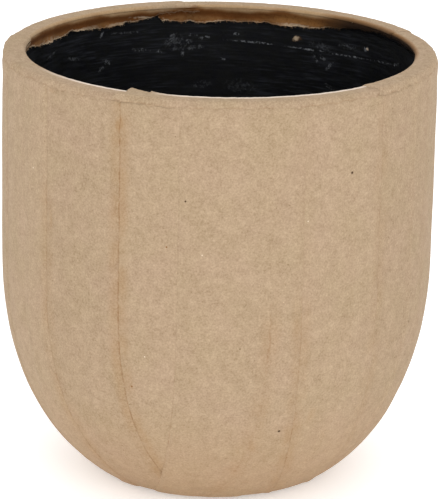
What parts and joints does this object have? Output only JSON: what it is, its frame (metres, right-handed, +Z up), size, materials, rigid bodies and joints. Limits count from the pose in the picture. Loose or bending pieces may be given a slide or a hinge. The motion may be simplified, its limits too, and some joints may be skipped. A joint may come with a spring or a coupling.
{
  "type": "plant pot",
  "caption": "Round U-shaped plant pot: a moulded pulp bowl lined black inside, clad in lapped kraft paper strips with torn strips folded over the rim.",
  "frame": {"origin": "on the ground at the pot's axis, at the middle of the base disc's underside", "axes": "+Z up along the pot's axis, -Y towards the front of the picture, +X to its right"},
  "size_m": [0.2801, 0.2805, 0.28],
  "materials": {
    "paper_pulp": "moulded paper pulp, matte and fibrous",
    "black_liner": "black waterproof coat, brushed on in rings, dull satin",
    "kraft_board": "kraft board, matte",
    "kraft_paper": "recycled kraft paper with short fibres and specks, matte",
    "rim_paper": "recycled kraft paper with torn, feathered edges, matte"
  },
  "bodies": {
    "root": {"bowl_core": "paper_pulp", "waterproof_liner": "black_liner", "base_disc": "kraft_board", "kraft_strip_01": "kraft_paper", "kraft_strip_02": "kraft_paper", "kraft_strip_03": "kraft_paper", "kraft_strip_04": "kraft_paper", "kraft_strip_05": "kraft_paper", "kraft_strip_06": "kraft_paper", "kraft_strip_07": "kraft_paper", "kraft_strip_08": "kraft_paper", "kraft_strip_09": "kraft_paper", "kraft_strip_10": "kraft_paper", "kraft_strip_11": "kraft_paper", "kraft_strip_12": "kraft_paper", "kraft_strip_13": "kraft_paper", "kraft_strip_14": "kraft_paper", "kraft_strip_15": "kraft_paper", "rim_strip_1": "rim_paper", "rim_strip_2": "rim_paper", "rim_strip_3": "rim_paper", "rim_strip_4": "rim_paper", "rim_strip_5": "rim_paper"}
  },
  "joints": []
}
